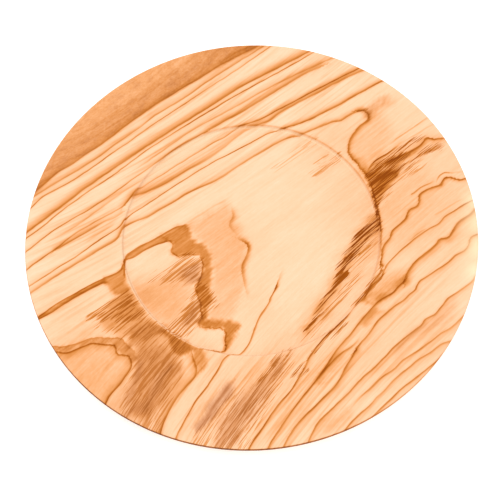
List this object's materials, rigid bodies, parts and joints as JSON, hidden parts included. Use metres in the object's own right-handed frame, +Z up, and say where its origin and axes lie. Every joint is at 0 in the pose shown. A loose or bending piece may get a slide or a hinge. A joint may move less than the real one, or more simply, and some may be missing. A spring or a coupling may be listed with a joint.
{
  "type": "offering plate",
  "caption": "Wide-rimmed round wooden offering plate, turned from one olive-wood blank, with a shallow round well and a felt disc under its foot.",
  "frame": {"origin": "centre of the felt's underside, where the plate rests on a table", "axes": "+Z up along the turning axis; the plate is round about Z, and -Y is the near side, with the heartwood at the far left"},
  "size_m": [0.305, 0.305, 0.0188],
  "materials": {
    "olive_wood": "oiled satin, pale honey with orange-brown growth rings and dark brown streaks",
    "felt": "dark green wool felt"
  },
  "bodies": {
    "root": {"turned_plate": "olive_wood", "base_felt": "felt"}
  },
  "joints": []
}
